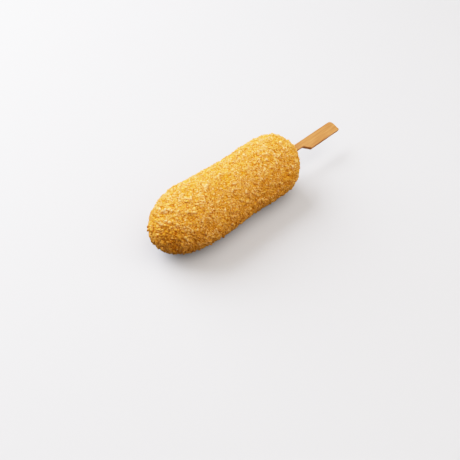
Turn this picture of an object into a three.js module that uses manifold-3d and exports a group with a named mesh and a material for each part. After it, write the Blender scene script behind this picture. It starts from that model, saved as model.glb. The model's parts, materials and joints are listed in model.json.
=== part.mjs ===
// A crumb-coated corn dog on a flat bamboo stick, uncooked, lying on its side.
// Millimetres, +Z up. The roll of coated dough lies along X, with its free tip towards -X. The stick
// leaves its other end towards +X. The origin is on the ground, under the middle of the whole piece.
// Run it with the npm packages three and manifold-3d; the default export is a THREE.Group of two meshes.

import * as THREE from "three";
import { mergeVertices } from "three/addons/utils/BufferGeometryUtils.js";
import Module from "manifold-3d";

const wasm = await Module();
wasm.setup();

// ---- Driving dimensions -------------------------------------------------------------------------

const ROLL_LENGTH = 128;
const FRONT_RADIUS = 22.8; // of the lobe near the free tip
const BACK_RADIUS = 22.0; // of the lobe near the stick
const HEIGHT_SHARE = 0.98; // the roll is this much lower than it is wide
const REST_FLAT_DEPTH = 0.6; // how much the roll has settled where it lies on the ground

// Long swells and dips of the radius: where along the length, how wide, how high.
const SWELLS = [
  { at: 0.3, spread: 0.14, rise: 0.5 }, // fuller just behind the tip
  { at: 0.58, spread: 0.094, rise: -0.75 }, // the waist between the two lobes
  { at: 0.84, spread: 0.1, rise: 0.3 }, // fuller again before the stick
];

// The rounded ends. A higher power makes a blunter end. The two shifts move the end's tip.
const FRONT_END = { length: 35, power: 1.95, sideways: -0.5, upwards: -1.9 };
const BACK_END = { length: 22.7, power: 2.64, sideways: 0.8, upwards: 3.0 };
const BOW = 1.3; // the ends lie this far to +Y of the middle

// Hand-rolled unevenness: gentle waves round and along the roll.
const UNEVENNESS = [
  { height: 0.26, round: 2, along: 0.06, phase: 0.9 },
  { height: 0.2, round: 3, along: -0.11, phase: 2.3 },
  { height: 0.14, round: 5, along: 0.19, phase: 4.1 },
];

const FACETS_ROUND = 64;
const FACETS_ALONG = 54;

// The stick: a narrow pointed blade with a wide handle that steps out on one side only.
const STICK_LENGTH = 150;
const STICK_SHOWING = 50.7; // from the roll's end to the handle's end
const STICK_THICKNESS = 2.8;
const BLADE_WIDTH = 4.7;
const HANDLE_WIDTH = 9.6;
const STEP_START = 13.6; // from the roll's end, where the blade begins to widen
const STEP_LENGTH = 4.6;
const STEP_FILLET = 2.4; // the hollow curve where blade and step meet
const POINT_LENGTH = 14;
const POINT_RADIUS = 0.7;
const ROUND_CORNER = 3.2; // of the handle's end, on the straight edge's side
const SHARP_CORNER = 0.9;
const EDGE_BEVEL = 0.25;

const STICK_ROLL = THREE.MathUtils.degToRad(20); // the flat face leans towards -Y
const STICK_HEADING = THREE.MathUtils.degToRad(1.4); // the handle swings towards +Y
const STICK_SIDEWAYS = 1.2; // the blade's middle where it leaves the roll
const STICK_HEIGHT = 21.0;
const STICK_CLEARANCE = 0.3; // round the blade, inside the roll

// ---- Materials ----------------------------------------------------------------------------------

function crumbCoating() {
  return new THREE.MeshStandardMaterial({ color: 0xdfa044, roughness: 0.85, metalness: 0 });
}

function bambooWood() {
  return new THREE.MeshStandardMaterial({ color: 0xdaa665, roughness: 0.6, metalness: 0 });
}

// ---- Joining and cutting ------------------------------------------------------------------------

function toSolid(geometry, matrix) {
  const bare = geometry.clone();
  bare.deleteAttribute("normal");
  bare.deleteAttribute("uv");
  if (matrix) {
    bare.applyMatrix4(matrix);
  }
  const merged = mergeVertices(bare, 1e-4);
  return new wasm.Manifold(
    new wasm.Mesh({
      numProp: 3,
      vertProperties: merged.attributes.position.array,
      triVerts: new Uint32Array(merged.index.array),
    }),
  );
}

function toGeometry(solid) {
  const mesh = solid.getMesh();
  const geometry = new THREE.BufferGeometry();
  geometry.setAttribute("position", new THREE.BufferAttribute(mesh.vertProperties, 3));
  geometry.setIndex(new THREE.BufferAttribute(mesh.triVerts, 1));
  geometry.computeVertexNormals();
  return geometry;
}

// ---- The roll -----------------------------------------------------------------------------------

// 0 at the inner edge of an end, 1 at its tip.
function intoFront(x) {
  return THREE.MathUtils.clamp((FRONT_END.length - x) / FRONT_END.length, 0, 1);
}

function intoBack(x) {
  return THREE.MathUtils.clamp((x - ROLL_LENGTH + BACK_END.length) / BACK_END.length, 0, 1);
}

function endShare(x) {
  const front = Math.sqrt(1 - intoFront(x) ** FRONT_END.power);
  const back = Math.sqrt(1 - intoBack(x) ** BACK_END.power);
  return front * back;
}

function rollRadius(x) {
  const t = x / ROLL_LENGTH;
  let radius = THREE.MathUtils.lerp(FRONT_RADIUS, BACK_RADIUS, THREE.MathUtils.smoothstep(t, 0, 1));
  for (const { at, spread, rise } of SWELLS) {
    radius += rise * Math.exp(-(((t - at) / spread) ** 2));
  }
  return radius * endShare(x);
}

function uneven(x, angle) {
  let sum = 0;
  for (const { height, round, along, phase } of UNEVENNESS) {
    sum += height * Math.sin(round * angle + along * x + phase);
  }
  return sum * endShare(x);
}

// The middle of the cross-section at x, measured from the free tip.
function centreLine(x) {
  const front = intoFront(x) ** 2;
  const back = intoBack(x) ** 2;
  const t = x / ROLL_LENGTH;
  const sideways = BOW * (2 * t - 1) ** 2 + FRONT_END.sideways * front + BACK_END.sideways * back;
  const rest = HEIGHT_SHARE * THREE.MathUtils.lerp(FRONT_RADIUS, BACK_RADIUS, t) - REST_FLAT_DEPTH;
  const upwards = FRONT_END.upwards * front + BACK_END.upwards * back;
  return { y: sideways, z: rest + upwards };
}

// A sphere whose poles become the roll's two tips, with each parallel moved to its cross-section.
function rollGeometry() {
  const geometry = new THREE.SphereGeometry(1, FACETS_ROUND, FACETS_ALONG);
  const position = geometry.attributes.position;
  for (let i = 0; i < position.count; i++) {
    const pole = THREE.MathUtils.clamp(position.getY(i), -1, 1);
    const x = (ROLL_LENGTH * (1 - pole)) / 2;
    const angle = Math.atan2(position.getZ(i), position.getX(i));
    const radius = rollRadius(x) > 1e-3 ? rollRadius(x) + uneven(x, angle) : 0;
    const centre = centreLine(x);
    position.setXYZ(
      i,
      x - ROLL_LENGTH / 2,
      centre.y + radius * Math.cos(angle),
      centre.z + HEIGHT_SHARE * radius * Math.sin(angle),
    );
  }
  return geometry;
}

function groundCutter() {
  const depth = 20;
  const size = 2 * ROLL_LENGTH;
  return new THREE.BoxGeometry(size, size, depth).translate(0, 0, -depth / 2);
}

// ---- The stick ----------------------------------------------------------------------------------

// Rounds the corner at b, between the lines from a and to c.
function roundedCorner(shape, a, b, c, radius) {
  const back = a.clone().sub(b).normalize();
  const on = c.clone().sub(b).normalize();
  const half = Math.acos(THREE.MathUtils.clamp(back.dot(on), -1, 1)) / 2;
  const reach = radius / Math.tan(half);
  const start = b.clone().addScaledVector(back, reach);
  const end = b.clone().addScaledVector(on, reach);
  shape.lineTo(start.x, start.y);
  shape.quadraticCurveTo(b.x, b.y, end.x, end.y);
}

// The outline in the stick's own plane: x along it from the roll's end, y across it from the
// blade's middle. margin widens the outline all round, for the slot that the blade sits in.
function stickOutline(margin) {
  const straight = BLADE_WIDTH / 2 + margin;
  const stepped = straight - HANDLE_WIDTH - 2 * margin;
  const tip = STICK_SHOWING - STICK_LENGTH - margin;
  const end = STICK_SHOWING + margin;
  const corners = [
    { at: new THREE.Vector2(tip, -POINT_RADIUS - margin), radius: POINT_RADIUS },
    { at: new THREE.Vector2(tip + POINT_LENGTH, -straight), radius: 6 },
    { at: new THREE.Vector2(STEP_START, -straight), radius: STEP_FILLET },
    { at: new THREE.Vector2(STEP_START + STEP_LENGTH, stepped), radius: 0.6 },
    { at: new THREE.Vector2(end, stepped), radius: SHARP_CORNER },
    { at: new THREE.Vector2(end, straight), radius: ROUND_CORNER },
    { at: new THREE.Vector2(tip + POINT_LENGTH, straight), radius: 6 },
    { at: new THREE.Vector2(tip, POINT_RADIUS + margin), radius: POINT_RADIUS },
  ];
  const shape = new THREE.Shape();
  const first = corners[0].at;
  const last = corners[corners.length - 1].at;
  shape.moveTo((first.x + last.x) / 2, (first.y + last.y) / 2);
  corners.forEach(({ at, radius }, i) => {
    const before = corners[(i + corners.length - 1) % corners.length].at;
    const after = corners[(i + 1) % corners.length].at;
    roundedCorner(shape, before, at, after, radius);
  });
  shape.closePath();
  return shape;
}

function stickGeometry() {
  const geometry = new THREE.ExtrudeGeometry(stickOutline(0), {
    depth: STICK_THICKNESS - 2 * EDGE_BEVEL,
    bevelThickness: EDGE_BEVEL,
    bevelSize: EDGE_BEVEL,
    bevelOffset: -EDGE_BEVEL,
    bevelSegments: 2,
    curveSegments: 6,
  });
  return geometry.translate(0, 0, EDGE_BEVEL - STICK_THICKNESS / 2);
}

function slotGeometry() {
  const depth = STICK_THICKNESS + 2 * STICK_CLEARANCE;
  const geometry = new THREE.ExtrudeGeometry(stickOutline(STICK_CLEARANCE), {
    depth,
    bevelEnabled: false,
    curveSegments: 3,
  });
  return geometry.translate(0, 0, -depth / 2);
}

// ---- Putting it together ------------------------------------------------------------------------

function stickMesh() {
  const mesh = new THREE.Mesh(stickGeometry(), bambooWood());
  mesh.name = "stick";
  mesh.rotation.set(STICK_ROLL, 0, STICK_HEADING, "ZYX");
  mesh.position.set(ROLL_LENGTH / 2, STICK_SIDEWAYS, STICK_HEIGHT);
  mesh.updateMatrix();
  return mesh;
}

function rollMesh(stickMatrix) {
  const roll = toSolid(rollGeometry());
  const onGround = roll.subtract(toSolid(groundCutter()));
  const slotted = onGround.subtract(toSolid(slotGeometry(), stickMatrix));
  const mesh = new THREE.Mesh(toGeometry(slotted), crumbCoating());
  mesh.name = "crumbed_roll";
  return mesh;
}

const cornDog = new THREE.Group();
cornDog.name = "corn_dog";
const stick = stickMesh();
cornDog.add(rollMesh(stick.matrix), stick);

const middle = new THREE.Box3().setFromObject(cornDog, true).getCenter(new THREE.Vector3());
cornDog.position.set(-middle.x, -middle.y, 0);

export default cornDog;
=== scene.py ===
# %% [markdown]
# # A raw corn dog in its coat of bread crumbs
#
# The real thing is a roll of soft dough, pressed round a flat bamboo stick and rolled in dry bread
# crumbs until nothing of the dough shows. It hasn't been fried yet, so the crumbs are still pale,
# sharp and loose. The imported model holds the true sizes: a smooth roll out to the crumbs' mean
# height, and the stepped stick. This lesson dresses that model with a bumpy bed of dough, nearly forty
# thousand crumbs of eight kinds, and a stick with its fibres.
#
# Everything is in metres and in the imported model's own frame: the roll lies along X with its free tip
# towards -X, the stick points to +X, and the ground is at z = 0.

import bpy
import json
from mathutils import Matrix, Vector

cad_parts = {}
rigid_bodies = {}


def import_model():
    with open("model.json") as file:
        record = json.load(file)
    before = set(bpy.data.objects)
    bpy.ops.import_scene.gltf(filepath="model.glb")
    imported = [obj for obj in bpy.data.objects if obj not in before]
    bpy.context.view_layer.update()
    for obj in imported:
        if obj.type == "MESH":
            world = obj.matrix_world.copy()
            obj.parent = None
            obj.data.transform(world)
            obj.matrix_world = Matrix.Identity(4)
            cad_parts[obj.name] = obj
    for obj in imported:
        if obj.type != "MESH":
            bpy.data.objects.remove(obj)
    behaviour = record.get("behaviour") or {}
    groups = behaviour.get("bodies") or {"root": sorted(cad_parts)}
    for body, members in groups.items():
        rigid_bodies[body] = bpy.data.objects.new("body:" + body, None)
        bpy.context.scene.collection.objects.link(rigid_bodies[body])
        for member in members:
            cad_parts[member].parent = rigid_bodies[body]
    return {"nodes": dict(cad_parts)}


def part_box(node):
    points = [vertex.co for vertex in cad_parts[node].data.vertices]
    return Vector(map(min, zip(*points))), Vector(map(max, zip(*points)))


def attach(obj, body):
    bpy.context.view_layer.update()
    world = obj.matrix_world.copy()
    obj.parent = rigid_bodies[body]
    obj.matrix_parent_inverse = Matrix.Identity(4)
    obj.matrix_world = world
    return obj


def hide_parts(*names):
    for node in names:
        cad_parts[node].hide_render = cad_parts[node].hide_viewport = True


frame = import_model()
print("packed pieces:", sorted(frame["nodes"]))

# %% Note its box and the roll's ends
import json
from math import cos, exp, pi, radians, sin

import bmesh
import bpy
from mathutils import Vector

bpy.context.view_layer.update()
roll_low, roll_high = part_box("crumbed_roll")
stick_low, stick_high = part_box("stick")
MM = 0.001
print("roll, mm:", [round(side / MM, 1) for side in roll_high - roll_low])
print("stick, mm:", [round(side / MM, 1) for side in stick_high - stick_low])

# %% [markdown]
# ## The eye
#
# A corn dog on a plate is looked at from above and from the side of its free tip, so the near end is
# a little larger than the far one. The camera stands about half a metre away. It could be set with a
# place and three angles. Here it is aimed by a direction and a distance from a point on the ground,
# which are easier to reason about.

# %% Place the camera
VIEW_AZIMUTH = radians(-44.3)
VIEW_ELEVATION = radians(44.07)
VIEW_DISTANCE = 510 * MM
VIEW_LENS = 57.73
LOOK_AT = Vector((-32.93, -11.19, 0)) * MM
NEAREST_SEEN = 10 * MM


def direction(azimuth, elevation):
    """The way to something seen at this azimuth (0 is towards -Y) and this height above the ground."""
    flat = cos(elevation)
    return Vector((sin(azimuth) * flat, -cos(azimuth) * flat, sin(elevation)))


def aimed(towards):
    """The turn that makes a camera or a lamp look along a direction."""
    return towards.to_track_quat("-Z", "Y").to_euler()


view = direction(VIEW_AZIMUTH, VIEW_ELEVATION)
bpy.ops.object.camera_add(location=LOOK_AT + VIEW_DISTANCE * view, rotation=aimed(-view))
camera = bpy.context.object
camera.name = "table_view"
camera.data.lens = VIEW_LENS
camera.data.clip_start = NEAREST_SEEN
bpy.context.scene.camera = camera
print("camera at, mm:", [round(place / MM) for place in camera.location])

# %% [markdown]
# ## Nodes in few lines
#
# Materials and scatters are both drawn as node trees. Each node could be added, set and wired in lines
# of its own, but that hides the pattern. A helper that does all three in one call keeps the trees
# readable from top to bottom, in the order in which the values flow.

# %% A helper for node trees


def add_node(tree, kind, wires=(), **settings):
    """Adds a node. wires pairs an input's name or number with a value, or with an output to wire in."""
    made = tree.nodes.new(kind)
    for name, value in settings.items():
        setattr(made, name, value)
    for name, value in dict(wires).items():
        if isinstance(value, bpy.types.NodeSocket):
            tree.links.new(value, made.inputs[name])
        else:
            made.inputs[name].default_value = value
    return made


def ramp(tree, factor, stops):
    """A colour ramp through stops of (position, colour)."""
    made = add_node(tree, "ShaderNodeValToRGB", {"Fac": factor})
    while len(made.color_ramp.elements) < len(stops):
        made.color_ramp.elements.new(0.5)
    for element, (position, colour) in zip(made.color_ramp.elements, stops):
        element.position = position
        element.color = (*colour, 1)
    return made.outputs["Color"]


def mixed(tree, blend, share, first, second):
    """Two colours mixed in a named way."""
    made = add_node(tree, "ShaderNodeMix", data_type="RGBA", blend_type=blend)
    for number, value in ((0, share), (6, first), (7, second)):
        if isinstance(value, bpy.types.NodeSocket):
            tree.links.new(value, made.inputs[number])
        else:
            made.inputs[number].default_value = value
    return made.outputs[2]


print("helpers: add_node, ramp, mixed")

# %% [markdown]
# ## Floor and light
#
# A plain pale table and two soft lamps. The main one hangs behind the roll, on the far side from the
# camera. Light that rakes across a crumbed surface shows every grain, while light from the camera
# would flatten them. A very wide, slightly warm lamp in front keeps the near side readable without
# shadows of its own, and a dim sky, black below and pale above, fills the rest.
#
# The table sends no light back up, because a white one would bleach the underside of the crumbs.

# %% Lay the floor
FLOOR_SIDE = 8.0
PALE, TABLE_ROUGH = (0.65, 0.65, 0.65, 1), 0.7


def plain_material(name, colour, roughness):
    """A material with one colour, as a start for the ones that get a pattern."""
    made = bpy.data.materials.new(name)
    made.use_nodes = True
    shader = made.node_tree.nodes["Principled BSDF"]
    shader.inputs["Base Color"].default_value = colour
    shader.inputs["Roughness"].default_value = roughness
    return made


bpy.ops.mesh.primitive_plane_add(size=FLOOR_SIDE)
floor = bpy.context.object
floor.name = "floor"
floor.visible_diffuse = False
table_finish = plain_material("pale_table", PALE, TABLE_ROUGH)
floor.data.materials.append(table_finish)
print("floor, m:", round(floor.dimensions.x, 1))

# %% Hang the lamps


def hang_lamp(name, azimuth, elevation, away, side, watts, colour):
    """A square lamp that shines at the roll from this direction and distance."""
    way = direction(radians(azimuth), radians(elevation))
    bpy.ops.object.light_add(type="AREA", location=way * away, rotation=aimed(-way))
    lamp = bpy.context.object
    lamp.name = name
    lamp.data.size = side
    lamp.data.energy = watts
    lamp.data.color = colour
    print(name, "m away:", away, "m wide:", side)


hang_lamp("main_lamp", azimuth=193, elevation=38, away=0.9, side=0.95, watts=13.9, colour=(1, 1, 1.08))
hang_lamp("front_lamp", azimuth=20, elevation=57, away=1.3, side=2.0, watts=19.6, colour=(1.03, 0.97, 0.93))

# %% Fill the room with dim light
SKY_STRENGTH = 0.25
SKY_BANDS = (
    (0.0, (0.0, 0.0, 0.0)),
    (0.46, (0.04, 0.04, 0.04)),
    (0.54, (1.0, 0.96, 0.9)),
    (1.0, (0.9, 0.9, 0.9)),
)

sky = bpy.data.worlds.new("soft_room")
bpy.context.scene.world = sky
sky.use_nodes = True
tree = sky.node_tree
way = add_node(tree, "ShaderNodeTexCoord").outputs["Generated"]
upwards = add_node(tree, "ShaderNodeSeparateXYZ", {0: way}).outputs["Z"]
from_below = add_node(tree, "ShaderNodeMapRange", {0: upwards, 1: -1.0, 2: 1.0})
glow = ramp(tree, from_below.outputs[0], SKY_BANDS)
background = tree.nodes["Background"]
tree.links.new(glow, background.inputs["Color"])
background.inputs["Strength"].default_value = SKY_STRENGTH
print("sky bands:", len(SKY_BANDS))

# %% [markdown]
# ## A room without a horizon
#
# The lamps light only the middle of the table, so from low down its far end would look grey, with a
# dark line behind it. A studio hides that with a seamless paper sweep. Here the table fades, well
# away from the roll, into an even white that shines by itself, and a big dome of the same white stands
# round it. Both are seen, but their light is kept off the roll, so that the lamps alone shape it.

# %% Fade the far table to white
WHITE_LIGHT = 1.05
FADE_START, FADE_END = 0.4, 1.0

tree = table_finish.node_tree
place = add_node(tree, "ShaderNodeTexCoord").outputs["Object"]
away = add_node(tree, "ShaderNodeVectorMath", {0: place}, operation="LENGTH").outputs["Value"]
fade = add_node(
    tree, "ShaderNodeMapRange", {0: away, 1: FADE_START, 2: FADE_END}, interpolation_type="SMOOTHSTEP"
)
white = add_node(tree, "ShaderNodeEmission", {"Strength": WHITE_LIGHT})
table = tree.nodes["Principled BSDF"]
both = add_node(
    tree, "ShaderNodeMixShader", {0: fade.outputs[0], 1: table.outputs[0], 2: white.outputs[0]}
)
tree.links.new(both.outputs[0], tree.nodes["Material Output"].inputs["Surface"])
print("table is white from, m:", FADE_END)

# %% Stand a white dome round it
DOME_RADIUS = 6.0

dome_finish = bpy.data.materials.new("white_dome")
dome_finish.use_nodes = True
tree = dome_finish.node_tree
white = add_node(tree, "ShaderNodeEmission", {"Strength": WHITE_LIGHT})
tree.links.new(white.outputs[0], tree.nodes["Material Output"].inputs["Surface"])

bpy.ops.mesh.primitive_uv_sphere_add(radius=DOME_RADIUS)
dome = bpy.context.object
dome.name = "dome"
dome.visible_diffuse = False
dome.visible_glossy = False
dome.visible_transmission = False
dome.visible_shadow = False
dome.data.materials.append(dome_finish)
print("dome, m across:", round(dome.dimensions.x, 1))

# %% [markdown]
# ## The picture's brightness
#
# Sunny crumbs lie close to the brightest that a screen can show. Cut off there, they would turn into
# flat yellow patches. A ready-made film curve would save them but wash the gold out. So the plain
# view gets one curve of its own: it climbs fast, then bends over in a soft shoulder.

# %% Show it with a soft shoulder
BRIGHTEST = 2.2
SHOULDER, TOE = 0.56, 1.2
CURVE_STEPS, CURVE_EASE = 12, 1.5

display = bpy.context.scene.view_settings
display.view_transform = "Standard"
display.use_curve_mapping = True
display.curve_mapping.white_level = (BRIGHTEST, BRIGHTEST, BRIGHTEST)
for step in range(1, CURVE_STEPS):
    light = (step / CURVE_STEPS) ** CURVE_EASE
    shown = 1 - exp(-((light * BRIGHTEST / SHOULDER) ** TOE))
    display.curve_mapping.curves[3].points.new(light, shown)
display.curve_mapping.update()
print("view transform:", display.view_transform)

# %% [markdown]
# ## What raw crumbs look like
#
# Each crumb is a torn bit of dried bread. Most are straw gold, some are nearly cream, and those from
# the crust are a deeper brown. Two numbers tell how a spot looks. The tone is the crumb's own, even
# within one crumb and jumping from one to the next. The height says how far the spot stands out of
# the roll. Low spots are painted a deep, dark orange gold and high ones are left pale: that is painted
# shade, and painted glow of light bouncing among the crumbs, in the hollows between them.
#
# Noise in the material could vary the colour too, but it would run straight across the crumbs as if
# they were one skin. So both numbers are stored on the crumbs' points, and the material reads them.

# %% Crumb colours
# The crumbs' own colours, by tone.
CRUMB_OWN_TONES = (
    (0.0, (0.56, 0.20, 0.018)),
    (0.25, (0.74, 0.315, 0.025)),
    (0.55, (0.87, 0.415, 0.065)),
    (0.8, (0.96, 0.515, 0.14)),
    (1.0, (1.0, 0.57, 0.22)),
)
# Painted shade: the deep, dark gold that the low spots between crumbs are given.
HOLLOW_SHADE_TONES = (
    (0.0, (0.56, 0.18, 0.001)),
    (0.5, (0.78, 0.3, 0.003)),
    (1.0, (0.88, 0.395, 0.012)),
)
GOLD, CRUMB_ROUGH, CRUMB_SHINE = (0.8, 0.45, 0.1, 1), 0.75, 0.1


def crumb_material(name):
    """Crumbs coloured by their stored tone, with painted shade in their low spots by height."""
    made = plain_material(name, GOLD, CRUMB_ROUGH)
    tree = made.node_tree
    tone = add_node(tree, "ShaderNodeAttribute", attribute_name="tone")
    height = add_node(tree, "ShaderNodeAttribute", attribute_name="height")
    dry = ramp(tree, tone.outputs["Fac"], CRUMB_OWN_TONES)
    hollow_shade = ramp(tree, tone.outputs["Fac"], HOLLOW_SHADE_TONES)
    # Painted shade: the lower a spot, the more it takes the deep hollow colours.
    colour = mixed(tree, "MIX", height.outputs["Fac"], hollow_shade, dry)
    shader = tree.nodes["Principled BSDF"]
    tree.links.new(colour, shader.inputs["Base Color"])
    shader.inputs["Specular IOR Level"].default_value = CRUMB_SHINE
    return made


crumb_finish = crumb_material("raw_crumbs")
print("material:", crumb_finish.name)

# %% [markdown]
# ## The bed of dough
#
# Under the crumbs lies the dough's own wet skin, which shows only between them. Its deep gold is painted
# shade for those gaps. The bed could be modelled afresh from a stretched sphere, but a copy of the
# imported roll is the surest start, because it has the true form. Its slot for the stick is closed first,
# or crumbs would be strewn inside it. A voxel remesh then gives even faces, and three displace modifiers
# make room for the crumbs and press them unevenly into the dough: a constant one shrinks the bed, a
# broad one makes lumps and a fine one makes dents.
#
# A second copy, shrunk well inside the first, is kept for a while as a gauge. The distance from it is
# the height that the crumbs' colour goes by.

# %% Helpers for working by hand


def use_only(piece):
    """Makes this piece the only selected one, and the active one."""
    bpy.ops.object.select_all(action="DESELECT")
    piece.select_set(True)
    bpy.context.view_layer.objects.active = piece


def pick(kind, wanted):
    """In edit mode, selects only the vertices, edges or faces that pass a test, and counts them."""
    bpy.ops.mesh.select_mode(type=kind)
    bpy.ops.mesh.select_all(action="DESELECT")
    mesh = bmesh.from_edit_mesh(bpy.context.object.data)
    items = {"VERT": mesh.verts, "EDGE": mesh.edges, "FACE": mesh.faces}[kind]
    found = [item for item in items if wanted(item)]
    for item in found:
        item.select_set(True)
    mesh.select_flush_mode()
    bmesh.update_edit_mesh(bpy.context.object.data)
    return len(found)


def with_modifier(piece, kind, **settings):
    """Adds a modifier, sets it and applies it."""
    use_only(piece)
    added = piece.modifiers.new("shape", kind)
    for name, value in settings.items():
        setattr(added, name, value)
    bpy.ops.object.modifier_apply(modifier=added.name)


def clouds(name, size, depth):
    """A cloudy pattern for a displace modifier, with bumps about this size."""
    made = bpy.data.textures.new(name, "CLOUDS")
    made.noise_scale = size
    made.noise_depth = depth
    return made


print("helpers: use_only, pick, with_modifier, clouds")

# %% Copy the roll and close its slot
STICK_START = Vector((roll_high.x, 1.25 * MM, 21 * MM))
STICK_HEADING = radians(1.4)
SLOT_REACH = 3.3 * MM
SAME_PLACE = 0.001 * MM

stick_way = Vector((cos(STICK_HEADING), sin(STICK_HEADING), 0))


def from_stick_line(place):
    """How far a place is from the line along the middle of the stick's blade."""
    return (place - STICK_START).cross(stick_way).length


dough = bpy.data.objects.new("dough_core", frame["nodes"]["crumbed_roll"].data.copy())
bpy.context.scene.collection.objects.link(dough)
use_only(dough)
bpy.ops.object.mode_set(mode="EDIT")
bpy.ops.mesh.select_all(action="SELECT")
bpy.ops.mesh.remove_doubles(threshold=SAME_PLACE)
slot_faces = pick("FACE", lambda face: all(from_stick_line(v.co) < SLOT_REACH for v in face.verts))
bpy.ops.mesh.delete(type="FACE")
bpy.ops.mesh.select_mode(type="EDGE")
bpy.ops.mesh.select_non_manifold()
bpy.ops.mesh.fill()
bpy.ops.mesh.select_all(action="SELECT")
bpy.ops.mesh.normals_make_consistent(inside=False)
bpy.ops.object.mode_set(mode="OBJECT")
print("slot faces removed:", slot_faces)

# %% Remesh it evenly and keep a gauge
BED_VOXEL = 0.85 * MM
SOFTENED, SOFTEN_TIMES = 0.5, 4
GAUGE_DEPTH = 3.0 * MM

with_modifier(dough, "REMESH", mode="VOXEL", voxel_size=BED_VOXEL)
with_modifier(dough, "SMOOTH", factor=SOFTENED, iterations=SOFTEN_TIMES)
gauge = bpy.data.objects.new("height_gauge", dough.data.copy())
bpy.context.scene.collection.objects.link(gauge)
with_modifier(gauge, "DISPLACE", strength=-GAUGE_DEPTH, mid_level=0)
print("bed faces:", len(dough.data.polygons))

# %% Roughen the bed
CRUMB_ROOM = 0.85 * MM
LUMP_SIZE, LUMP_RISE = 5.0 * MM, 1.2 * MM
DENT_SIZE, DENT_RISE = 1.9 * MM, 1.45 * MM
BED_REST = 0.45 * MM

lumps = clouds("lumps", LUMP_SIZE, 1)
dents = clouds("dents", DENT_SIZE, 0)
with_modifier(dough, "DISPLACE", strength=-CRUMB_ROOM, mid_level=0)
with_modifier(dough, "DISPLACE", texture=lumps, strength=LUMP_RISE, mid_level=0.5)
with_modifier(dough, "DISPLACE", texture=dents, strength=DENT_RISE, mid_level=0.5)
use_only(dough)
bpy.ops.object.mode_set(mode="EDIT")
resting = pick("VERT", lambda vert: vert.co.z < BED_REST)
bpy.ops.transform.resize(value=(1, 1, 0), center_override=(0, 0, BED_REST))
bpy.ops.object.mode_set(mode="OBJECT")
bpy.ops.object.shade_smooth()
print("resting points:", resting)

# %% Give the dough its colour, painted shade for the gaps
# Painted shade: the dough's dark, deep gold, seen only in the gaps between crumbs.
DOUGH_SHADE_TONES = ((0.3, (0.42, 0.14, 0.003)), (0.7, (0.68, 0.29, 0.01)))
DEEP_GOLD, DOUGH_ROUGH = (0.55, 0.22, 0.006, 1), 0.6
MOTTLING = 900.0

dough_finish = plain_material("raw_dough", DEEP_GOLD, DOUGH_ROUGH)
tree = dough_finish.node_tree
shader = tree.nodes["Principled BSDF"]
place = add_node(tree, "ShaderNodeTexCoord").outputs["Object"]
mottle = add_node(tree, "ShaderNodeTexNoise", {"Vector": place, "Scale": MOTTLING, "Detail": 3.0})
tree.links.new(ramp(tree, mottle.outputs["Fac"], DOUGH_SHADE_TONES), shader.inputs["Base Color"])
dough.data.materials.clear()
dough.data.materials.append(dough_finish)
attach(dough, "root")
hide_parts("crumbed_roll")
print("material:", dough_finish.name)

# %% [markdown]
# ## Crumb shapes
#
# Bread tears into angular bits with small points. They could be sculpted one by one, but a crumb is
# repeated thousands of times, so it may have only a few dozen faces. An icosphere of twenty faces is
# the cheapest round start. Pulling its corners about at random makes it lopsided, poking some faces
# outwards gives it points, and stretching it makes grains and flakes out of one recipe. Without the
# poking it is a blunt crumb, and three of those pressed together make a clump of sixty faces.

# %% One lopsided grain
LOPSIDED = 0.17


def grain(seed, size, at):
    """One lopsided grain about the given size, left in edit mode with all of it selected."""
    bpy.ops.mesh.primitive_ico_sphere_add(subdivisions=1, radius=size / 2, location=at)
    bpy.ops.object.mode_set(mode="EDIT")
    bpy.ops.mesh.select_all(action="SELECT")
    bpy.ops.transform.vertex_random(offset=LOPSIDED * size, uniform=1.0, seed=seed)


print("helper: grain")

# %% Blunt, torn and clumped crumbs
POKED_SHARE, POKED_OUT = 0.4, 0.12


def blunt_crumb(seed, stretch):
    """A crumb without points, about 1 m long, to be scaled where it is strewn."""
    grain(seed, 1.0, (0, 0, 0))
    bpy.ops.transform.resize(value=stretch)
    bpy.ops.object.mode_set(mode="OBJECT")


def torn_crumb(seed, stretch):
    """The same with some faces poked out to points."""
    grain(seed, 1.0, (0, 0, 0))
    bpy.ops.mesh.select_mode(type="FACE")
    bpy.ops.mesh.select_all(action="DESELECT")
    bpy.ops.mesh.select_random(ratio=POKED_SHARE, seed=seed)
    bpy.ops.mesh.poke(offset=POKED_OUT)
    bpy.ops.mesh.select_all(action="SELECT")
    bpy.ops.transform.resize(value=stretch)
    bpy.ops.object.mode_set(mode="OBJECT")


def clump(seed, stretch):
    """Three grains of unlike size pressed together."""
    long, wide, _ = stretch
    sizes_and_places = (
        (0.62, (-0.2 * long, 0.08, 0)),
        (0.52, (0.22 * long, 0.12 * wide, 0.06)),
        (0.46, (0.05, -0.25 * wide, -0.05)),
    )
    made = []
    for number, (size, at) in enumerate(sizes_and_places):
        bpy.ops.object.select_all(action="DESELECT")
        grain(10 * seed + number, size, at)
        bpy.ops.object.mode_set(mode="OBJECT")
        made.append(bpy.context.object)
    for part in made:
        part.select_set(True)
    bpy.ops.object.join()


print("helpers: blunt_crumb, torn_crumb, clump")

# %% Make a set of each
STRETCHES = (
    (1.0, 0.85, 0.7),
    (1.1, 0.9, 0.65),
    (1.2, 1.0, 0.55),
    (1.25, 0.85, 0.65),
    (1.05, 1.05, 0.6),
    (1.4, 0.7, 0.55),
)


def crumb_set(name, maker, first_seed):
    """A collection with one crumb for each way of stretching it."""
    group = bpy.data.collections.new(name)
    bpy.context.scene.collection.children.link(group)
    for number, stretch in enumerate(STRETCHES):
        bpy.ops.object.select_all(action="DESELECT")
        maker(first_seed + number, stretch)
        shape = bpy.context.object
        shape.name = f"{name}_{number}"
        bpy.ops.object.transform_apply(location=True, rotation=True, scale=True)
        bpy.ops.object.shade_smooth()
        for holder in list(shape.users_collection):
            holder.objects.unlink(shape)
        group.objects.link(shape)
    return group


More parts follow.
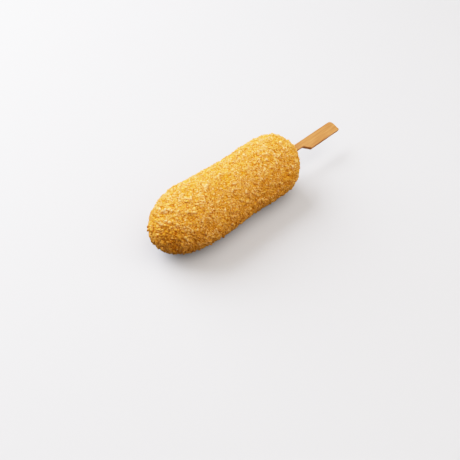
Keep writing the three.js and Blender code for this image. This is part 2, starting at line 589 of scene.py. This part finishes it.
torn_crumbs = crumb_set("torn_crumb", torn_crumb, first_seed=11)
blunt_crumbs = crumb_set("blunt_crumb", blunt_crumb, first_seed=31)
clumps = crumb_set("clump", clump, first_seed=51)

# %% [markdown]
# ## Strewing the crumbs
#
# Rolling the dough in a tray of crumbs presses one layer into it and leaves a looser one on top. A
# particle system could strew them, but its copies aren't part of a mesh and would be lost in an
# export. Geometry Nodes do it better: points are spread over the bed, each is pushed a little into the
# dough or left a little proud of it, and gets a crumb with its own turn, size and tone. The copies are
# then realized into one plain mesh.
#
# The tree for that is long, so it is put together from helpers. The first are for single nodes.

# %% Helpers for single nodes


def random_number(tree, low, high, seed, kind="FLOAT"):
    """A random value for each point, between two values."""
    least, most, out = {"FLOAT": (2, 3, 1), "INT": (4, 5, 2)}[kind]
    made = add_node(tree, "FunctionNodeRandomValue", {least: low, most: high, 8: seed}, data_type=kind)
    return made.outputs[out]


def maths(tree, operation, *values, clamp=False):
    """One step of arithmetic."""
    made = add_node(tree, "ShaderNodeMath", dict(enumerate(values)), operation=operation, use_clamp=clamp)
    return made.outputs[0]


def stored(tree, geometry, name, value, kind="FLOAT", domain="POINT"):
    """The geometry with a value stored on it under a name."""
    made = add_node(
        tree,
        "GeometryNodeStoreNamedAttribute",
        {"Geometry": geometry, "Name": name, "Value": value},
        data_type=kind,
        domain=domain,
    )
    return made.outputs[0]


def kept(tree, name):
    """A value stored earlier."""
    return add_node(tree, "GeometryNodeInputNamedAttribute", {"Name": name}, data_type="FLOAT").outputs[0]


def noise(tree, scale, detail):
    """A wandering value from 0 to 1 that depends on the place."""
    place = add_node(tree, "GeometryNodeInputPosition").outputs[0]
    return add_node(
        tree, "ShaderNodeTexNoise", {"Vector": place, "Scale": scale, "Detail": detail}
    ).outputs["Fac"]


print("helpers: random_number, maths, stored, kept, noise")

# %% [markdown]
# ## How the coat varies
#
# The coat isn't even. The tone of the crumbs wanders in patches and flecks, and it rises towards the
# top as painted light from above. The free tip, which was pushed into the tray first, has the coarsest
# crumbs, and a spot near its end is browner. All that could be painted onto the bed by hand, but
# values that go by the place alone are quicker to change, and come out the same each time.

# %% Tip, brown spot and tone
COARSE_REACH = (34 * MM, 8 * MM)
BROWN_SPOT = Vector((roll_low.x + 6 * MM, -9 * MM, 26 * MM))
BROWN_REACH, BROWN_SHARE = (10 * MM, 4 * MM), 0.3
# Painted light: how much paler crumbs are made towards the top of the roll.
PAINTED_TOP_LIGHT = 0.65
PATCHES, PATCH_SHARE = 150.0, 0.8
FLECKS, FLECK_SHARE = 400.0, 0.9


def towards_tip(tree, least):
    """A value that climbs from the least one to 1 near the free tip."""
    place = add_node(tree, "GeometryNodeInputPosition").outputs[0]
    along = add_node(tree, "ShaderNodeSeparateXYZ", {0: place}).outputs["X"]
    start, full = (roll_low.x + distance for distance in COARSE_REACH)
    return add_node(tree, "ShaderNodeMapRange", {0: along, 1: start, 2: full, 3: least, 4: 1.0}).outputs[0]


def in_brown_spot(tree):
    """A value that climbs from 0 to 1 near the middle of the browner spot."""
    place = add_node(tree, "GeometryNodeInputPosition").outputs[0]
    away = add_node(tree, "ShaderNodeVectorMath", {0: place, 1: BROWN_SPOT}, operation="DISTANCE")
    rim, core = BROWN_REACH
    return add_node(tree, "ShaderNodeMapRange", {0: away.outputs["Value"], 1: rim, 2: core}).outputs[0]


def tone_shift(tree):
    """How much paler or browner the crumbs are at a place."""
    place = add_node(tree, "GeometryNodeInputPosition").outputs[0]
    above = add_node(tree, "ShaderNodeSeparateXYZ", {0: place}).outputs["Z"]
    # Painted light from above: the higher a point lies, the paler its tone.
    shift = maths(tree, "MULTIPLY_ADD", above, PAINTED_TOP_LIGHT / roll_high.z, -PAINTED_TOP_LIGHT / 2)
    patches = maths(tree, "SUBTRACT", noise(tree, PATCHES, 2.0), 0.5)
    shift = maths(tree, "MULTIPLY_ADD", patches, PATCH_SHARE, shift)
    flecks = maths(tree, "SUBTRACT", noise(tree, FLECKS, 1.0), 0.5)
    shift = maths(tree, "MULTIPLY_ADD", flecks, FLECK_SHARE, shift)
    return maths(tree, "MULTIPLY_ADD", in_brown_spot(tree), -BROWN_SHARE, shift)


print("brown spot, mm:", [round(place / MM) for place in BROWN_SPOT])

# %% [markdown]
# ## A place, a size and a turn for each crumb
#
# A crumb that lands on the dough keeps others off its place, but they still gather in drifts. A plain
# random spread would pile them up in one spot and leave the next one bare. A Poisson spread keeps
# points of one kind a little apart, and a noise thins them out between the drifts. Small crumbs are
# commoner than large ones, so the size is drawn from a skewed range.

# %% Spread, size and turn the points
DRIFTS, DRIFT_EDGES = 260.0, (0.42, 0.58)
MOSTLY_SMALL = 1.6


def spread_points(tree, given):
    """Points on the bed, gathered in drifts and towards the tip, each upright on the dough."""
    between = maths(tree, "SUBTRACT", 1.0, given["Gathering"])
    low, high = DRIFT_EDGES
    gathered = add_node(
        tree, "ShaderNodeMapRange", {0: noise(tree, DRIFTS, 1.0), 1: low, 2: high, 3: between, 4: 1.0}
    )
    at_tip = towards_tip(tree, maths(tree, "SUBTRACT", 1.0, given["Tipwards"]))
    share = maths(tree, "MULTIPLY", gathered.outputs[0], at_tip)
    return add_node(
        tree,
        "GeometryNodeDistributePointsOnFaces",
        {
            "Mesh": given["Bed"],
            "Distance Min": given["Spacing"],
            "Density Max": given["Density"],
            "Density Factor": share,
            "Seed": given["Seed"],
        },
        distribute_method="POISSON",
    ).outputs


def sized_and_toned(tree, given, spread, seeds):
    """The points with a size and a tone each, pushed into the dough or left proud of it."""
    skewed = maths(tree, "POWER", random_number(tree, 0.0, 1.0, seeds[0]), MOSTLY_SMALL)
    span = maths(tree, "SUBTRACT", given["Largest"], given["Smallest"])
    size = maths(tree, "MULTIPLY_ADD", skewed, span, given["Smallest"])
    sized = stored(tree, spread["Points"], "size", size)
    rise = maths(tree, "MULTIPLY", random_number(tree, given["Deepest"], given["Proudest"], seeds[1]), size)
    push = add_node(tree, "ShaderNodeVectorMath", {0: spread["Normal"], "Scale": rise}, operation="SCALE")
    raised = add_node(tree, "GeometryNodeSetPosition", {"Geometry": sized, "Offset": push.outputs[0]})
    own_tone = random_number(tree, given["Darkest"], given["Palest"], seeds[2])
    tone = maths(tree, "ADD", own_tone, tone_shift(tree), clamp=True)
    return stored(tree, raised.outputs[0], "tone", tone)


def own_turn(tree, upright, tilt, seeds):
    """A turn for each point: anyhow round its upright, and leaning either way up to the tilt."""
    lean = maths(tree, "MULTIPLY", tilt, -1.0)
    turn = add_node(
        tree,
        "ShaderNodeCombineXYZ",
        {
            "X": random_number(tree, lean, tilt, seeds[0]),
            "Y": random_number(tree, lean, tilt, seeds[1]),
            "Z": random_number(tree, 0.0, 2 * pi, seeds[2]),
        },
    )
    extra = add_node(tree, "FunctionNodeEulerToRotation", {0: turn.outputs[0]}).outputs[0]
    return add_node(
        tree, "FunctionNodeRotateRotation", {0: upright, 1: extra}, rotation_space="LOCAL"
    ).outputs[0]


print("helpers: spread_points, sized_and_toned, own_turn")

# %% [markdown]
# ## Pressed flat underneath
#
# Under the roll the crumbs are squashed by its weight. Cutting them off at the ground would leave open
# shells. So the lowest third of a millimetre gives way instead: the deeper a point would lie, the
# closer to the ground it comes to rest, but never below it, and every crumb stays closed.

# %% Squash what would enter the ground
SQUASH = 0.3 * MM


def squashed(tree, geometry):
    """The geometry with all that would enter the ground pressed flat onto it."""
    place = add_node(tree, "GeometryNodeInputPosition").outputs[0]
    where = add_node(tree, "ShaderNodeSeparateXYZ", {0: place})
    below = maths(tree, "DIVIDE", maths(tree, "SUBTRACT", where.outputs["Z"], SQUASH), SQUASH)
    pressed = maths(tree, "MULTIPLY", maths(tree, "EXPONENT", below), SQUASH)
    flat = add_node(
        tree, "ShaderNodeCombineXYZ", {"X": where.outputs["X"], "Y": where.outputs["Y"], "Z": pressed}
    ).outputs[0]
    is_low = maths(tree, "LESS_THAN", where.outputs["Z"], SQUASH)
    return add_node(
        tree, "GeometryNodeSetPosition", {"Geometry": geometry, "Selection": is_low, "Position": flat}
    ).outputs[0]


print("squashed below, mm:", SQUASH / MM)

# %% [markdown]
# ## Height and paint chart
#
# Once the crumbs are one mesh, the distance of each point from the gauge gives its height.
#
# A flat map of such a mesh would be thousands of tiny islands. But its colour depends on tone and
# height alone, so the map uses just those two as its directions and becomes a small paint chart. A
# hair of random shift keeps each face from collapsing to a line on it.

# %% Store the height and the map
LOWEST, HIGHEST = -0.9 * MM, 0.6 * MM
MAP_BLUR = 0.004
CHART_SIZE, CHART_MARGIN = 0.96, 0.02


def levelled(tree, geometry, gauge_piece):
    """The geometry with the height of each point stored on it."""
    form = add_node(tree, "GeometryNodeObjectInfo", {"Object": gauge_piece}).outputs["Geometry"]
    reach = add_node(tree, "GeometryNodeProximity", {0: form}, target_element="FACES")
    lowest, highest = (GAUGE_DEPTH + level for level in (LOWEST, HIGHEST))
    height = add_node(
        tree, "ShaderNodeMapRange", {0: reach.outputs["Distance"], 1: lowest, 2: highest}
    ).outputs[0]
    return stored(tree, geometry, "height", height)


def charted(tree, geometry, seeds):
    """The geometry with a map that goes by tone one way and by height the other."""
    blurs = [random_number(tree, -MAP_BLUR, MAP_BLUR, seed) for seed in seeds]
    across = maths(tree, "ADD", kept(tree, "tone"), blurs[0])
    upwards = maths(tree, "ADD", kept(tree, "height"), blurs[1])
    chart = add_node(tree, "ShaderNodeCombineXYZ", {"X": across, "Y": upwards})
    within = add_node(
        tree,
        "ShaderNodeVectorMath",
        {0: chart.outputs[0], 1: (CHART_SIZE, CHART_SIZE, 0), 2: (CHART_MARGIN, CHART_MARGIN, 0)},
        operation="MULTIPLY_ADD",
    )
    return stored(tree, geometry, "OFBake", within.outputs[0], kind="FLOAT2", domain="CORNER")


print("helpers: levelled, charted")

# %% [markdown]
# ## The whole scatter
#
# Each kind of crumb could have a tree of its own, but they differ only in their shapes and in a dozen
# numbers. So there is one tree, and what differs is given to it from outside. Copies of a set's six
# shapes are picked at random, set down at their points and made one mesh. Then that mesh is squashed,
# measured and mapped.

# %% Set a crumb on each point


def set_down(tree, given, points, turn, seed):
    """A crumb on each point, picked from the shapes at random, and all of them as one mesh."""
    shapes = add_node(
        tree,
        "GeometryNodeCollectionInfo",
        {"Collection": given["Shapes"], "Separate Children": True, "Reset Children": True},
    )
    crumbs = add_node(
        tree,
        "GeometryNodeInstanceOnPoints",
        {
            "Points": points,
            "Instance": shapes.outputs[0],
            "Pick Instance": True,
            "Instance Index": random_number(tree, 0, len(STRETCHES) - 1, seed, "INT"),
            "Rotation": turn,
            "Scale": kept(tree, "size"),
        },
    )
    return add_node(tree, "GeometryNodeRealizeInstances", {"Geometry": crumbs.outputs[0]}).outputs[0]


print("helper: set_down")

# %% Put the scatter together
SCATTER_INPUTS = {
    "NodeSocketGeometry": ("Bed",),
    "NodeSocketObject": ("Gauge",),
    "NodeSocketCollection": ("Shapes",),
    "NodeSocketMaterial": ("Finish",),
    "NodeSocketFloat": (
        "Spacing", "Density", "Gathering", "Tipwards", "Smallest", "Largest",
        "Deepest", "Proudest", "Darkest", "Palest", "Tilt",
    ),
    "NodeSocketInt": ("Seed",),
}
SEED_COUNT = 9


def scatter_tree():
    """Crumbs strewn on a bed as one plain mesh, with their tone, their height and their map."""
    tree = bpy.data.node_groups.new("strewn_crumbs", "GeometryNodeTree")
    for kind, names in SCATTER_INPUTS.items():
        for name in names:
            tree.interface.new_socket(name, in_out="INPUT", socket_type=kind)
    tree.interface.new_socket("Crumbs", in_out="OUTPUT", socket_type="NodeSocketGeometry")
    given = add_node(tree, "NodeGroupInput").outputs
    seeds = [maths(tree, "ADD", given["Seed"], step) for step in range(1, SEED_COUNT + 1)]

    spread = spread_points(tree, given)
    points = sized_and_toned(tree, given, spread, seeds[0:3])
    turn = own_turn(tree, spread["Rotation"], given["Tilt"], seeds[3:6])
    crumbs = set_down(tree, given, points, turn, seeds[6])
    measured = levelled(tree, squashed(tree, crumbs), given["Gauge"])
    mapped = charted(tree, measured, seeds[7:9])
    dressed = add_node(tree, "GeometryNodeSetMaterial", {"Geometry": mapped, "Material": given["Finish"]})
    add_node(tree, "NodeGroupOutput", {0: dressed.outputs[0]})
    return tree


strewn = scatter_tree()
print("scatter nodes:", len(strewn.nodes))

# %% [markdown]
# ## Eight kinds of crumb
#
# One kind strewn once looks like gravel. A real coat has clumps that stuck together, golden and pale
# grains pressed into the dough, torn flakes on them, a few chunky ones at the tip, small and fine
# crumbs dusted over the rest, and here and there a brown bit of crust. They could share one scatter,
# but as pieces of their own each kind has its own spacing, depth, tone and tilt, and stays light
# enough to be handled.
#
# Spacing and size are in mm, density in crumbs a square mm, tilt in degrees. Depth is a share of the
# crumb's own size, below zero when pressed in. Gathering and tipwards go from 0, spread evenly, to 1,
# only in the drifts or only near the tip.

# %% List the kinds
KINDS = {
    "crumb_clumps": dict(
        shapes=clumps, spacing=1.9, density=0.45, gathering=0.5, tipwards=0.0,
        size=(2.2, 3.4), depth=(-0.15, 0.05), tone=(0.35, 0.8), tilt=25,
    ),
    "crumbs_golden": dict(
        shapes=blunt_crumbs, spacing=1.1, density=2.0, gathering=0.0, tipwards=0.0,
        size=(1.2, 2.0), depth=(-0.1, 0.2), tone=(0.25, 0.7), tilt=45,
    ),
    "crumbs_pale": dict(
        shapes=blunt_crumbs, spacing=1.1, density=2.0, gathering=0.4, tipwards=0.0,
        size=(1.1, 1.8), depth=(-0.05, 0.4), tone=(0.5, 0.95), tilt=50,
    ),
    "crumbs_torn": dict(
        shapes=torn_crumbs, spacing=1.75, density=2.0, gathering=0.4, tipwards=0.0,
        size=(1.4, 2.6), depth=(0.0, 0.25), tone=(0.4, 1.0), tilt=50,
    ),
    "crumbs_chunky": dict(
        shapes=torn_crumbs, spacing=2.0, density=0.35, gathering=0.3, tipwards=0.95,
        size=(1.8, 3.0), depth=(0.05, 0.3), tone=(0.3, 0.85), tilt=50,
    ),
    "crumbs_small": dict(
        shapes=blunt_crumbs, spacing=0.99, density=3.0, gathering=0.2, tipwards=0.0,
        size=(0.8, 1.3), depth=(0.1, 0.8), tone=(0.4, 0.95), tilt=60,
    ),
    "crumbs_fine": dict(
        shapes=blunt_crumbs, spacing=1.0, density=3.0, gathering=0.2, tipwards=0.0,
        size=(0.5, 0.9), depth=(0.5, 1.4), tone=(0.6, 1.0), tilt=60,
    ),
    "crumbs_toasted": dict(
        shapes=torn_crumbs, spacing=2.0, density=0.08, gathering=0.8, tipwards=0.0,
        size=(1.2, 2.2), depth=(0.0, 0.3), tone=(0.0, 0.3), tilt=45,
    ),
}
print("kinds:", len(KINDS))

# %% Strew one kind
SQUARE_MM = MM * MM


def strew(name, kind, seed):
    """One kind of crumb over the whole bed, as a plain mesh."""
    piece = bpy.data.objects.new(name, dough.data.copy())
    bpy.context.scene.collection.objects.link(piece)
    use_only(piece)
    added = piece.modifiers.new("strew", "NODES")
    added.node_group = strewn
    values = {
        "Gauge": gauge,
        "Shapes": kind["shapes"],
        "Finish": crumb_finish,
        "Spacing": kind["spacing"] * MM,
        "Density": kind["density"] / SQUARE_MM,
        "Gathering": kind["gathering"],
        "Tipwards": kind["tipwards"],
        "Smallest": kind["size"][0] * MM,
        "Largest": kind["size"][1] * MM,
        "Deepest": kind["depth"][0],
        "Proudest": kind["depth"][1],
        "Darkest": kind["tone"][0],
        "Palest": kind["tone"][1],
        "Tilt": radians(kind["tilt"]),
        "Seed": seed,
    }
    for socket in strewn.interface.items_tree:
        if socket.name in values:
            added[socket.identifier] = values[socket.name]
    bpy.ops.object.modifier_apply(modifier=added.name)
    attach(piece, "root")
    return piece


print("helper: strew")

# %% Strew every kind
SEED_STEP = 100


def triangle_count(piece):
    """How many triangles a mesh has once its larger faces are split."""
    return sum(len(face.vertices) - 2 for face in piece.data.polygons)


total = 0
for number, (name, kind) in enumerate(KINDS.items()):
    piece = strew(name, kind, SEED_STEP * (number + 1))
    total += triangle_count(piece)
    print(name, "triangles:", triangle_count(piece))
print("all crumbs:", total)

# %% [markdown]
# ## Clearing the table
#
# The single crumbs and the gauge were only helpers, and would be loose pieces of the model if they
# stayed. The bed is nearly hidden now. It could keep all its faces, but it looks the same with less
# than half of them, and the model gets lighter.

# %% Put the helpers away and thin the hidden dough
DOUGH_KEPT = 0.4

with_modifier(dough, "DECIMATE", ratio=DOUGH_KEPT)
for group in (torn_crumbs, blunt_crumbs, clumps):
    for shape in list(group.objects):
        bpy.data.objects.remove(shape)
    bpy.data.collections.remove(group)
bpy.data.objects.remove(gauge)
print("dough triangles:", triangle_count(dough))

# %% [markdown]
# ## The stick
#
# The stick is punched from a bamboo strip: a narrow blade that widens on one side into a handle. It
# could stay as packed, but the real edges are softened by sanding, so it is modelled again from a
# block: cut across, pulled out on one side, narrowed to its point, and bevelled at each corner and
# then along every edge.

# %% Sizes of the stick
STICK_LENGTH = 150 * MM
BLADE, HANDLE, THICK = 4.7 * MM, 9.6 * MM, 2.8 * MM
STEP_START, STEP_LENGTH = 13.6 * MM, 4.6 * MM
POINT, BLUNT = 14 * MM, 0.7 * MM
STICK_ROLL = radians(20)

low_side, high_side = -BLADE / 2, BLADE / 2
handle_side = high_side - HANDLE
# The stick lies a little askew, so its stepped corner reaches further along X than its middle line.
swing = -handle_side * sin(STICK_HEADING)
handle_end = (stick_high.x - STICK_START.x - swing) / cos(STICK_HEADING)
point_end = handle_end - STICK_LENGTH
print("handle's end, mm from the roll:", round(handle_end / MM, 2))

# %% Shape it from a block
HAIR = 0.05 * MM
FACING = 0.9

bpy.ops.object.select_all(action="DESELECT")
bpy.ops.mesh.primitive_cube_add(
    size=1, location=((handle_end + point_end) / 2, 0, 0), scale=(STICK_LENGTH, BLADE, THICK)
)
stick = bpy.context.object
stick.name = "bamboo_stick"
bpy.ops.object.transform_apply(location=True, rotation=True, scale=True)
bpy.ops.object.mode_set(mode="EDIT")
for cut in (point_end + POINT, STEP_START):
    bpy.ops.mesh.select_all(action="SELECT")
    bpy.ops.mesh.bisect(plane_co=(cut, 0, 0), plane_no=(1, 0, 0))


def middle(item):
    """The middle of an edge or a face."""
    return sum((vert.co for vert in item.verts), Vector()) / len(item.verts)


pick("FACE", lambda face: face.normal.y < -FACING and middle(face).x > STEP_START)
bpy.ops.mesh.extrude_region_move(TRANSFORM_OT_translate={"value": (0, handle_side - low_side, 0)})
pick("VERT", lambda vert: abs(vert.co.x - STEP_START) < HAIR and vert.co.y < low_side - HAIR)
bpy.ops.transform.translate(value=(STEP_LENGTH, 0, 0))
pick("VERT", lambda vert: abs(vert.co.x - point_end) < HAIR)
bpy.ops.transform.resize(value=(1, 2 * BLUNT / BLADE, 1), center_override=(point_end, 0, 0))
bpy.ops.object.mode_set(mode="OBJECT")
print("block's faces:", len(stick.data.polygons))

# %% Round its corners and soften its edges
SANDED, EDGE_STEPS, EDGE_ANGLE = 0.3 * MM, 3, radians(50)
CORNERS = (
    ((STEP_START, low_side), 0.9 * MM, 5),
    ((STEP_START + STEP_LENGTH, handle_side), 0.5 * MM, 3),
    ((handle_end, handle_side), 0.4 * MM, 3),
    ((handle_end, high_side), 3.2 * MM, 9),
    ((point_end + POINT, low_side), 2.0 * MM, 4),
    ((point_end + POINT, high_side), 2.0 * MM, 4),
    ((point_end, -BLUNT), 0.6 * MM, 3),
    ((point_end, BLUNT), 0.6 * MM, 3),
)

bpy.ops.object.mode_set(mode="EDIT")
for (x, y), width, steps in CORNERS:
    pick("EDGE", lambda edge: (middle(edge) - Vector((x, y, 0))).length < 2 * HAIR)
    bpy.ops.mesh.bevel(offset=width, segments=steps, affect="EDGES")
bpy.ops.object.mode_set(mode="OBJECT")
with_modifier(
    stick, "BEVEL", width=SANDED, segments=EDGE_STEPS, limit_method="ANGLE", angle_limit=EDGE_ANGLE
)
print("stick faces:", len(stick.data.polygons))

# %% Set the stick in the roll
SMOOTH_BELOW = radians(30)

stick.rotation_euler = (STICK_ROLL, 0, STICK_HEADING)
stick.location = STICK_START
use_only(stick)
bpy.ops.object.transform_apply(location=True, rotation=True, scale=True)
bpy.ops.object.shade_smooth_by_angle(angle=SMOOTH_BELOW)
top_corner = Vector(stick.bound_box[6])
print("stick against the packed one, mm:", [round(side / MM, 2) for side in top_corner - stick_high])

# %% [markdown]
# ## Bamboo
#
# Bamboo is a pale ground with brown bundles of fibres that run along it. On a cut face they show as
# fine broken lines, and on the sawn end as dots. A flat pattern laid on each face could show the
# lines, but they wouldn't meet the dots. One solid pattern gives both: it is laid in the stick's own
# directions and drawn out along the stick. Cells make the bundles, a stretched noise makes the
# hair-fine fibres between them, and a broad noise makes the strip a little uneven. The bundles are
# also a touch glossier and stand a hair proud, because the soft ground wears first.

# %% Lay the patterns along the stick
BAMBOO_TONE, BAMBOO_ROUGH = (0.56, 0.255, 0.078, 1), 0.55
BUNDLES = (35.0, 1300.0, 1300.0)
FIBRES = (60.0, 2700.0, 2700.0)
CLOUDING = (60.0, 250.0, 250.0)
BUNDLE_RIM, BUNDLE_CORE = 0.4, 0.15

bamboo = plain_material("bamboo_fibres", BAMBOO_TONE, BAMBOO_ROUGH)
tree = bamboo.node_tree
place = add_node(tree, "ShaderNodeTexCoord").outputs["Object"]
along = add_node(
    tree,
    "ShaderNodeMapping",
    {"Vector": place, "Location": STICK_START, "Rotation": (STICK_ROLL, 0, STICK_HEADING)},
    vector_type="TEXTURE",
)


def drawn_out(stretch):
    """The stick's own coordinates, stretched along it."""
    made = add_node(tree, "ShaderNodeVectorMath", {0: along.outputs[0], 1: stretch}, operation="MULTIPLY")
    return made.outputs[0]


cells = add_node(tree, "ShaderNodeTexVoronoi", {"Vector": drawn_out(BUNDLES), "Scale": 1.0})
fibres = add_node(tree, "ShaderNodeTexNoise", {"Vector": drawn_out(FIBRES), "Scale": 1.0, "Detail": 3.0})
clouding = add_node(
    tree, "ShaderNodeTexNoise", {"Vector": drawn_out(CLOUDING), "Scale": 1.0, "Detail": 1.0}
)
in_bundle = add_node(
    tree, "ShaderNodeMapRange", {0: cells.outputs["Distance"], 1: BUNDLE_RIM, 2: BUNDLE_CORE}
).outputs[0]
print("patterns: bundles, fibres, clouding")

# %% Turn them into colour, gloss and relief
GROUND_TONES = ((0.3, (0.37, 0.137, 0.026)), (0.5, (0.50, 0.206, 0.048)), (0.7, (0.62, 0.278, 0.078)))
BUNDLE_TONE, BUNDLE_SHARE = (0.34, 0.118, 0.019, 1), 0.5
CLOUD_SHARE = 0.5
GROUND_ROUGH, BUNDLE_ROUGH = 0.62, 0.48
FIBRE_RISE, RELIEF = 0.03 * MM, 0.5

shader = tree.nodes["Principled BSDF"]
cloudy = maths(tree, "MULTIPLY_ADD", clouding.outputs["Fac"], CLOUD_SHARE, -CLOUD_SHARE / 2)
ground = ramp(tree, maths(tree, "ADD", fibres.outputs["Fac"], cloudy), GROUND_TONES)
wood = mixed(tree, "MIX", maths(tree, "MULTIPLY", in_bundle, BUNDLE_SHARE), ground, BUNDLE_TONE)
tree.links.new(wood, shader.inputs["Base Color"])

gloss = add_node(tree, "ShaderNodeMapRange", {0: in_bundle, 3: GROUND_ROUGH, 4: BUNDLE_ROUGH})
tree.links.new(gloss.outputs[0], shader.inputs["Roughness"])
rise = maths(tree, "ADD", fibres.outputs["Fac"], in_bundle)
relief = add_node(tree, "ShaderNodeBump", {"Height": rise, "Strength": RELIEF, "Distance": FIBRE_RISE})
tree.links.new(relief.outputs[0], shader.inputs["Normal"])
stick.data.materials.append(bamboo)
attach(stick, "root")
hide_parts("stick")
print("material:", bamboo.name)
